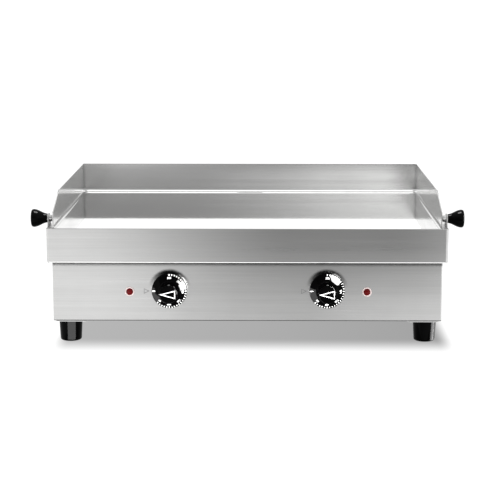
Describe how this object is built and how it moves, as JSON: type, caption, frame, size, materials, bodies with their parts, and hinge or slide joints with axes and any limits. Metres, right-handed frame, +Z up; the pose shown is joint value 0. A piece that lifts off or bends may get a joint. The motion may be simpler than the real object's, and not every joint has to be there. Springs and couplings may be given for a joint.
{
  "type": "flat top griddle",
  "caption": "Electric table-top flat griddle: polished cooking plate with splash walls that tilts up, two thermostat dials, rear juice tray, rubber feet",
  "frame": {"origin": "on the table, under the middle of the bounding box", "axes": "+Z up, +X to the right seen from the front, control panel facing -Y"},
  "size_m": [0.7604, 0.52, 0.2645],
  "materials": {
    "stainless_satin": "satin, grain along the length",
    "stainless_bright": "bright satin",
    "stainless_polished": "mirror polished stainless steel",
    "chrome": "polished chrome plate",
    "zinc_steel": "zinc plated",
    "element_sheath": "dark oxidised sheath",
    "copper": "plain copper",
    "black_phenolic": "glossy black moulding",
    "black_rubber": "satin black",
    "black_nylon": "matt moulding",
    "thermostat_case": "matt moulding",
    "cream_ceramic": "unglazed ceramic",
    "ceramic_fibre": "compressed fibre board",
    "red_lens": "dark red translucent lens",
    "pale_bezel": "pale moulded ring"
  },
  "bodies": {
    "casing": {"body_shell": "stainless_satin", "rear_panel": "stainless_satin", "inner_pan": "stainless_bright", "foot_bracket_front_left": "stainless_bright", "foot_bracket_front_right": "stainless_bright", "foot_bracket_rear_left": "stainless_bright", "foot_bracket_rear_right": "stainless_bright", "hinge_bracket_left": "stainless_satin", "hinge_bracket_right": "stainless_satin", "hinge_pin_left": "chrome", "hinge_pin_right": "chrome", "base_plate": "zinc_steel", "tray_runner_left": "zinc_steel", "tray_runner_right": "zinc_steel", "foot_front_left": "black_rubber", "foot_front_right": "black_rubber", "foot_rear_left": "black_rubber", "foot_rear_right": "black_rubber", "cable_gland": "black_nylon", "gland_nut": "black_nylon", "thermostat_body_left": "thermostat_case", "thermostat_body_right": "thermostat_case", "terminal_block": "cream_ceramic", "pilot_lamp_left": "red_lens", "pilot_lamp_right": "red_lens", "lamp_bezel_left": "pale_bezel", "lamp_bezel_right": "pale_bezel"},
    "griddle_plate": {"cooking_plate": "stainless_polished", "back_splash": "stainless_bright", "side_splash_left": "stainless_bright", "side_splash_right": "stainless_bright", "plate_skirt": "stainless_satin", "juice_spout": "stainless_bright", "heating_element_left": "element_sheath", "heating_element_right": "element_sheath", "element_clamp_left": "zinc_steel", "element_clamp_right": "zinc_steel", "thermostat_bulb_left": "copper", "thermostat_bulb_right": "copper", "insulation_pad": "ceramic_fibre", "heat_shield": "zinc_steel", "handle_knob_left": "black_phenolic", "handle_knob_right": "black_phenolic", "handle_bracket_left": "stainless_satin", "handle_bracket_right": "stainless_satin", "handle_bolt_left": "chrome", "handle_bolt_right": "chrome", "hinge_leaf_left": "stainless_satin", "hinge_leaf_right": "stainless_satin"},
    "left_dial": {"dial_knob_left": "black_phenolic", "thermostat_shaft_left": "stainless_satin"},
    "right_dial": {"dial_knob_right": "black_phenolic", "thermostat_shaft_right": "stainless_satin"},
    "juice_tray": {"drip_tray": "stainless_satin"}
  },
  "joints": [
    {"name": "plate_tilt", "type": "hinge", "parent": "casing", "child": "griddle_plate", "pos_m": [0, 0.25295, 0.152], "axis": [-1, 0, 0], "range_deg": [0, 75]},
    {"name": "left_dial_turn", "type": "hinge", "parent": "casing", "child": "left_dial", "pos_m": [-0.1362, -0.21795, 0.0975], "axis": [0, 1, 0], "range_deg": [0, 270]},
    {"name": "right_dial_turn", "type": "hinge", "parent": "casing", "child": "right_dial", "pos_m": [0.1398, -0.21795, 0.0975], "axis": [0, 1, 0], "range_deg": [0, 270]},
    {"name": "tray_slide", "type": "slide", "parent": "casing", "child": "juice_tray", "axis": [0, 1, 0], "range_m": [0, 0.16]}
  ]
}
